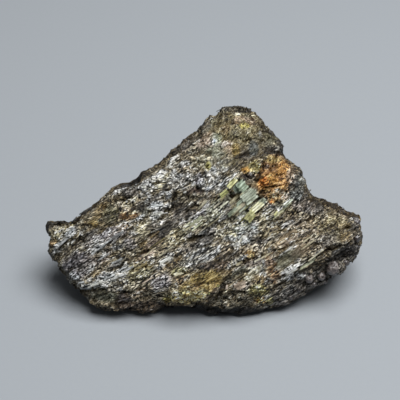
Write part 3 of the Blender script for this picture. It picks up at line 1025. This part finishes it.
# each lath is a row of boxes, its ribs, that follow the slope of the stone
def paleLaths(ground, material):
    draw = random.Random(laths["seed"])
    colour = {name: linear(value) for name, value in tints.items()}
    bm = bmesh.new()
    tint = bm.verts.layers.float_color.new("tint")
    tone, warmth, speckle, turnBack = [bm.verts.layers.float.new(name)
                                       for name in ("tone", "warmth", "speckle", "turnBack")]
    lean, slant, uneven = laths["lean"], laths["slant"], laths["unevenMm"]
    for a, b, length, width, turn, ribs, lift, name in laths["rows"]:
        t = math.radians(turn)
        foot = Vector((a, b, 0.0))
        way = Vector((math.cos(t), math.sin(t), 0.0))
        side = Vector((-way.y, way.x, 0.0))
        spots = [groundAt(ground, *(foot + way * length * k).xy)[0] for k in (-0.35, 0.0, 0.35)]
        heights = [(worldToFace @ spot).z for spot in spots if spot]
        if not heights:
            continue
        height = sorted(heights)[len(heights) // 2]
        slope = (heights[-1] - heights[0]) / (0.7 * length)
        slope = max(-laths["steepest"], min(laths["steepest"], slope))
        for k in range(ribs):
            ribWidth = width / ribs * draw.uniform(*laths["ribWidth"])
            middle = (k + 0.5) / ribs * width - 0.5 * width
            low = -0.5 * length + draw.uniform(0.0, laths["cutBack"]) * length
            high = 0.5 * length - draw.uniform(0.0, laths["cutBack"]) * length
            top = lift + draw.uniform(-uneven, uneven)
            roll = draw.uniform(-lean, lean)
            corners = []
            for u, cut in ((low, draw.uniform(-slant, slant)), (high, draw.uniform(-slant, slant))):
                for v, w in ((-0.5, 0.0), (0.5, 0.0), (0.44, 1.0), (-0.44, 1.0)):
                    place = foot + way * (u + cut * v) + side * (middle + v * ribWidth)
                    place.z = height + slope * u + (top + roll * v * ribWidth if w else -laths["depthMm"])
                    corners.append(bm.verts.new(faceToWorld @ place))
            shade = draw.uniform(*laths["shade"])
            for vert in corners:
                vert[tint] = (*(shade * v for v in colour[name]), 1.0)
                vert[tone] = draw.uniform(*laths["tone"])
                vert[warmth], vert[speckle] = 0.5, laths["speckle"]
                vert[turnBack] = math.radians(face["fibreAngle"] - turn)
            p, q = corners[:4], corners[4:]
            bm.faces.new(p[::-1])
            bm.faces.new(q)
            for j in range(4):
                bm.faces.new((p[j], p[(j + 1) % 4], q[(j + 1) % 4], q[j]))
    bmesh.ops.recalc_face_normals(bm, faces=bm.faces)
    mesh = meshFrom(bm, "paleLaths")
    print("pale laths:", len(mesh.polygons), "faces")
    return newObject("paleLaths", mesh, material)


# garnets along the lower right wall and at the right end
garnets = {
    # a, b, radius in mm, crust: 1 pale, 0 dark
    "rows": [
        (34.0, 12.1, 1.6, 1.0), (38.0, 12.8, 1.4, 0.95), (41.3, 15.5, 2.35, 0.7), (46.0, 17.5, 1.6, 0.2),
        (30.8, 8.4, 1.0, 0.3), (35.6, 10.0, 0.9, 0.3), (32.2, 13.9, 0.8, 0.3), (28.0, 5.8, 0.9, 0.3),
        (39.7, 10.9, 0.8, 0.3), (49.4, 30.4, 1.9, 0.1), (49.7, 24.9, 1.4, 0.05), (50.1, 21.9, 1.3, 0.0),
        (48.8, 19.1, 1.3, 0.0),
    ],
    "sunk": (0.5, 0.1),          # how far a dark and a pale one's middle is sunk, as a share of the radius
    "facets": 14,
    "cut": (0.80, 0.93),         # how far from the middle a facet lies
    "lumps": 0.10,
    "crustMm": 0.9,              # grain of the crust
    "coreColour": "#2b2422",
    "crustColour": "#817873",
    "ior": 1.76,
    "seed": 33,
}


# each garnet is a ball cut by flat facets, the paler ones standing further out of the stone
def garnetMesh(ground, material):
    draw = random.Random(garnets["seed"])
    bm = bmesh.new()
    tone = bm.verts.layers.float.new("tone")
    darkSunk, paleSunk = garnets["sunk"]
    for a, b, radius, crust in garnets["rows"]:
        hits = [groundAt(ground, a + u, b + v) for u in (0.0, -1.0, 1.0) for v in (0.0, -1.0, 1.0)]
        hits = [(spot, normal) for spot, normal in hits if spot]
        if not hits:
            continue
        outward = (worldToFace.to_3x3() @ sum((normal for spot, normal in hits), Vector())).normalized()
        sunk = darkSunk + (paleSunk - darkSunk) * crust
        centre = worldToFace @ hits[0][0] - outward * sunk * radius
        ball = bmesh.ops.create_icosphere(bm, subdivisions=3, radius=1.0)["verts"]
        facets = [(anyWay(draw), draw.uniform(*garnets["cut"])) for k in range(garnets["facets"])]
        for vert in ball:
            p = vert.co.normalized()
            size = 1.0 + garnets["lumps"] * noise.noise(p * 1.6 + Vector((a, b, 0.0)))
            for way, cut in facets:
                if p.dot(way) * size > cut:
                    size = min(size, cut / max(p.dot(way), 1e-3))
            vert.co = faceToWorld @ (centre + p * size * radius)
            vert[tone] = crust
    mesh = meshFrom(bm, "garnets")
    mesh.shade_flat()
    print("garnets:", len(mesh.polygons), "faces")
    return newObject("garnets", mesh, material)


# materials
def newMaterial(name):
    material = bpy.data.materials.new(name)
    material.use_nodes = True
    tree = material.node_tree
    tree.nodes.clear()
    return material, tree


# gedrite and anthophyllite, broken across and along the fibre: near-black to silver slivers. The matrix
# scatters light in its cracks and is dull; the cleaved splinters on it glint
amphibole = {
    # swing: how far the coarse slivers, the fine ones and the splinters' own tones go from dark to bright
    "matrix": {
        "name": "brokenAmphibole",
        "specular": 0.22,
        "rough": (0.60, 0.38),
        "swing": (1.1, 7.6, 0.2),
    },
    "cleaved": {
        "name": "cleavedAmphibole",
        "specular": 0.38,
        "rough": (0.45, 0.25),
        "swing": (1.0, 5.2, 0.3),
    },
    "coated": {
        "name": "coatedLath",
        "specular": 0.35,
        "rough": (0.50, 0.34),
        "swing": (1.4, 1.7, 0.4),
    },
    "coarseMm": (5.0, 0.42),      # slivers: length and width
    "fineMm": (0.80, 0.23),       # real ones go finer: these are the finest that still show
    "partingMm": (8.0, 2.1),      # bundles of slivers, with dark partings between them
    "partingEdge": (0.03, 0.15),  # a parting's dark middle and its edge, as shares of a bundle
    "partingSwing": -1.3,         # how dark the partings are
    "contrast": 0.36,             # what a swing of 1 adds to the brightness that the eye sees
    "darkest": 0.10,
    "eyePower": 2.2,              # from what the eye sees to the light itself
    "level": 0.98,                # brightness of the whole stone
    "brightest": (0.85, 0.85, 0.83),
    "stain": (1.7, 0.68),         # the tint's strength in the darkest cracks and on the brightest cleavage,
    "stainSwing": (-1.8, 1.8),    # which lie at these swings
    "crackStain": (1.05, 0.995, 0.89, 1.0),
    "crackSwing": (-1.8, 0.4),    # the cracks' brown is full and gone at these swings,
    "roughSwing": (-2.0, 2.0),    # and the two roughnesses above lie at these
    "coolWarm": ((0.96, 1.00, 1.05, 1.0), (1.05, 1.00, 0.92, 1.0)),
    "bumpMm": 0.12,
    "ior": 1.64,                  # gedrite
}


def amphiboleMaterial(spec):
    material, tree = newMaterial(spec["name"])
    coords = addNode(tree, "ShaderNodeTexCoord")
    turn = (faceTurn @ fibreTurn).to_euler()
    painted = {name: addNode(tree, "ShaderNodeAttribute", {"attribute_name": name}).outputs
               for name in ("tint", "tone", "warmth", "speckle", "turnBack")}
    inFibreMm = addNode(tree, "ShaderNodeMapping", {"vector_type": "TEXTURE"},
                        {"Vector": coords.outputs["Object"], "Rotation": turn, "Scale": (mm, mm, mm)})
    along = addNode(tree, "ShaderNodeVectorRotate", {"rotation_type": "Z_AXIS"},
                    {"Vector": inFibreMm, "Angle": painted["turnBack"]["Fac"]})

    # cells of this length and width along the fibres
    def slivers(feature, length, width):
        place = addNode(tree, "ShaderNodeVectorMath", over, {0: along, 1: (length, width, width)})
        return addNode(tree, "ShaderNodeTexVoronoi", {"feature": feature},
                       {"Vector": place, "Scale": 1.0, "Randomness": 1.0}).outputs

    coarse, fine = [addNode(tree, "ShaderNodeSeparateColor", None,
                            {"Color": slivers("F1", *amphibole[name])["Color"]}).outputs
                    for name in ("coarseMm", "fineMm")]
    # each layer swings the brightness up or down, as the eye sees it
    swing = 0.0
    for source, amount in zip((coarse[0], fine[0], painted["tone"]["Fac"]), spec["swing"]):
        centred = addNode(tree, "ShaderNodeMath", minus, {0: source, 1: 0.5})
        swing = addNode(tree, "ShaderNodeMath", timesPlus, {0: centred, 1: amount, 2: swing})
    # dark partings between bundles, a pixel or so wide
    edge = slivers("DISTANCE_TO_EDGE", *amphibole["partingMm"])["Distance"]
    parting = addNode(tree, "ShaderNodeMapRange", None,
                      {"Value": edge, "From Min": amphibole["partingEdge"][0],
                       "From Max": amphibole["partingEdge"][1],
                       "To Min": amphibole["partingSwing"], "To Max": 0.0})
    parted = addNode(tree, "ShaderNodeMath", plus, {0: swing, 1: parting})
    swing = addNode(tree, "ShaderNodeMath", times, {0: parted, 1: painted["speckle"]["Fac"]})
    seen = addNode(tree, "ShaderNodeMath", timesPlus, {0: swing, 1: amphibole["contrast"], 2: 1.0})
    seen = addNode(tree, "ShaderNodeMath", {"operation": "MAXIMUM"}, {0: seen, 1: amphibole["darkest"]})
    power = addNode(tree, "ShaderNodeMath", {"operation": "POWER"}, {0: seen, 1: amphibole["eyePower"]})
    factor = addNode(tree, "ShaderNodeMath", times, {0: power, 1: amphibole["level"]})
    # the stain is weak on bright cleavage and strong in the dark cracks
    grey = addNode(tree, "ShaderNodeRGBToBW", None, {"Color": painted["tint"]["Color"]})
    hue = addNode(tree, "ShaderNodeVectorMath", over, {0: painted["tint"]["Color"], 1: grey})
    stain = addNode(tree, "ShaderNodeMapRange", None,
                    {"Value": swing, "From Min": amphibole["stainSwing"][0],
                     "From Max": amphibole["stainSwing"][1],
                     "To Min": amphibole["stain"][0], "To Max": amphibole["stain"][1]})
    stained = addNode(tree, "ShaderNodeGamma", None, {"Color": hue, "Gamma": stain})
    depth = addNode(tree, "ShaderNodeMapRange", None,
                    {"Value": swing, "From Min": amphibole["crackSwing"][0],
                     "From Max": amphibole["crackSwing"][1]})
    brown = addNode(tree, "ShaderNodeMix", {"data_type": "RGBA"},
                    {0: depth, 6: amphibole["crackStain"], 7: (1.0, 1.0, 1.0, 1.0)})
    cool = addNode(tree, "ShaderNodeMix", {"data_type": "RGBA"},
                   {0: painted["warmth"]["Fac"], 6: amphibole["coolWarm"][0], 7: amphibole["coolWarm"][1]})
    light = addNode(tree, "ShaderNodeMath", times, {0: factor, 1: grey})
    shaded = addNode(tree, "ShaderNodeVectorMath", scaled, {0: stained, "Scale": light})
    browned = addNode(tree, "ShaderNodeVectorMath", times, {0: shaded, 1: brown.outputs[2]})
    coloured = addNode(tree, "ShaderNodeVectorMath", times, {0: browned, 1: cool.outputs[2]})
    capped = addNode(tree, "ShaderNodeVectorMath", {"operation": "MINIMUM"},
                     {0: coloured, 1: amphibole["brightest"]})
    rough = addNode(tree, "ShaderNodeMapRange", None,
                    {"Value": swing, "From Min": amphibole["roughSwing"][0],
                     "From Max": amphibole["roughSwing"][1],
                     "To Min": spec["rough"][0], "To Max": spec["rough"][1]})
    bump = addNode(tree, "ShaderNodeBump", None,
                   {"Height": fine[1], "Strength": 0.5, "Distance": mm * amphibole["bumpMm"]})
    shader = addNode(tree, "ShaderNodeBsdfPrincipled", None,
                     {"Base Color": capped, "Roughness": rough, "IOR": amphibole["ior"],
                      "Specular IOR Level": spec["specular"], "Normal": bump})
    addNode(tree, "ShaderNodeOutputMaterial", None, {"Surface": shader})
    return material


# almandine with a thin grey crust: dull pinkish brown, darker and glassier where the crust is off
def crustedGarnet():
    material, tree = newMaterial("crustedGarnet")
    coords = addNode(tree, "ShaderNodeTexCoord")
    crust = addNode(tree, "ShaderNodeTexNoise", None,
                    {"Vector": coords.outputs["Object"], "Scale": 1.0 / (mm * garnets["crustMm"]),
                     "Detail": 4.0, "Roughness": 0.65})
    tone = addNode(tree, "ShaderNodeAttribute", {"attribute_name": "tone"})
    spread = addNode(tree, "ShaderNodeMapRange", None, {"Value": crust, "From Min": 0.40, "From Max": 0.60})
    amount = addNode(tree, "ShaderNodeMath", times, {0: spread, 1: tone.outputs["Fac"]})
    colour = addNode(tree, "ShaderNodeMix", {"data_type": "RGBA"},
                     {0: amount, 6: (*linear(garnets["coreColour"]), 1.0),
                      7: (*linear(garnets["crustColour"]), 1.0)})
    rough = addNode(tree, "ShaderNodeMapRange", None, {"Value": amount, "To Min": 0.25, "To Max": 0.6})
    bump = addNode(tree, "ShaderNodeBump", None, {"Height": crust, "Strength": 0.6, "Distance": mm * 0.3})
    shader = addNode(tree, "ShaderNodeBsdfPrincipled", None,
                     {"Base Color": colour.outputs[2], "Roughness": rough, "IOR": garnets["ior"],
                      "Normal": bump})
    addNode(tree, "ShaderNodeOutputMaterial", None, {"Surface": shader})
    return material


# the paper, the softbox and the camera
studio = {
    "paper": "#979ca1",
    "paperGrainMm": 1.5,
    # lengths from here on in m
    "paperHalfSize": 2.5,
    "cameraTarget": (-0.0013, -0.0055, 0.0317),
    "cameraDistance": 0.40,
    "cameraElevation": 42.0,
    "lensMm": 110.3,
    "skyColour": (0.095, 0.097, 0.10),
    "softboxPlace": (0.20, -0.055, 0.78),
    "softboxAim": (0.0, 0.0, 0.02),
    "softboxSize": 0.55,
    "softboxWatts": 10.0,
}


# plain grey studio paper: flat and without gloss
def mattePaper():
    material, tree = newMaterial("studioPaper")
    coords = addNode(tree, "ShaderNodeTexCoord")
    grain = addNode(tree, "ShaderNodeTexNoise", None,
                    {"Vector": coords.outputs["Object"], "Scale": 1.0 / (mm * studio["paperGrainMm"]),
                     "Detail": 2.0})
    base = Vector(linear(studio["paper"]))
    colour = addNode(tree, "ShaderNodeMix", {"data_type": "RGBA"},
                     {0: grain, 6: (*(base * 0.985), 1.0), 7: (*(base * 1.015), 1.0)})
    shader = addNode(tree, "ShaderNodeBsdfPrincipled", None,
                     {"Base Color": colour.outputs[2], "Roughness": 0.85, "Specular IOR Level": 0.2})
    addNode(tree, "ShaderNodeOutputMaterial", None, {"Surface": shader})
    return material


# a lamp and a camera look along their own -Z
def lookingAt(thing, place, aim):
    thing.location = place
    thing.rotation_euler = (Vector(aim) - Vector(place)).to_track_quat("-Z", "Y").to_euler()
    return thing


def buildStudio(material):
    bm = bmesh.new()
    bmesh.ops.create_grid(bm, x_segments=1, y_segments=1, size=studio["paperHalfSize"])
    mesh = meshFrom(bm, "paper")
    newObject("paper", mesh, material)

    scene = bpy.context.scene
    scene.view_settings.view_transform = "Standard"
    world = bpy.data.worlds.new("studioSky")
    world.use_nodes = True
    sky = world.node_tree.nodes["Background"].inputs
    sky[0].default_value = (*studio["skyColour"], 1.0)
    sky[1].default_value = 1.0
    scene.world = world

    light = bpy.data.lights.new("softbox", "AREA")
    light.shape = "SQUARE"
    light.size = studio["softboxSize"]
    light.energy = studio["softboxWatts"]
    lookingAt(newObject("softbox", light), studio["softboxPlace"], studio["softboxAim"])

    target = Vector(studio["cameraTarget"])
    lift = math.radians(studio["cameraElevation"])
    place = target + studio["cameraDistance"] * Vector((0.0, -math.cos(lift), math.sin(lift)))
    camera = lookingAt(newObject("camera", bpy.data.cameras.new("camera")), place, target)
    camera.data.lens = studio["lensMm"]
    camera.data.clip_start = 0.01
    scene.camera = camera
    print("studio: paper, softbox and camera")


# building
matrix, cleaved, coated = [amphiboleMaterial(amphibole[name]) for name in ("matrix", "cleaved", "coated")]
print("materials:", matrix.name, cleaved.name, coated.name)
stonePiece = workStone(stoneMesh(), matrix)
groundTree = BVHTree.FromPolygons([v.co.copy() for v in stonePiece.data.vertices],
                                  [tuple(p.vertices) for p in stonePiece.data.polygons])
scatter = scatterTree()
pieces = [
    stonePiece,
    scattered("fibreSplinters", stonePiece, scatter, splinterShapes(), "lathShare", splinters, cleaved),
    scattered("crystalGrains", stonePiece, scatter, grainShapes(), "grainShare", grains, cleaved),
    paleLaths(groundTree, coated),
    garnetMesh(groundTree, crustedGarnet()),
]
pressedFlat = 0.02    # what would stick into the paper keeps this share of its depth
for piece in pieces:
    places = arrayOf(piece.data.vertices)
    places[:, 2] = np.where(places[:, 2] < 0.0, pressedFlat * places[:, 2], places[:, 2])
    piece.data.vertices.foreach_set("co", places.astype(np.float32).ravel())
    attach(piece, "root")
    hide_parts("nuummite")
buildStudio(mattePaper())
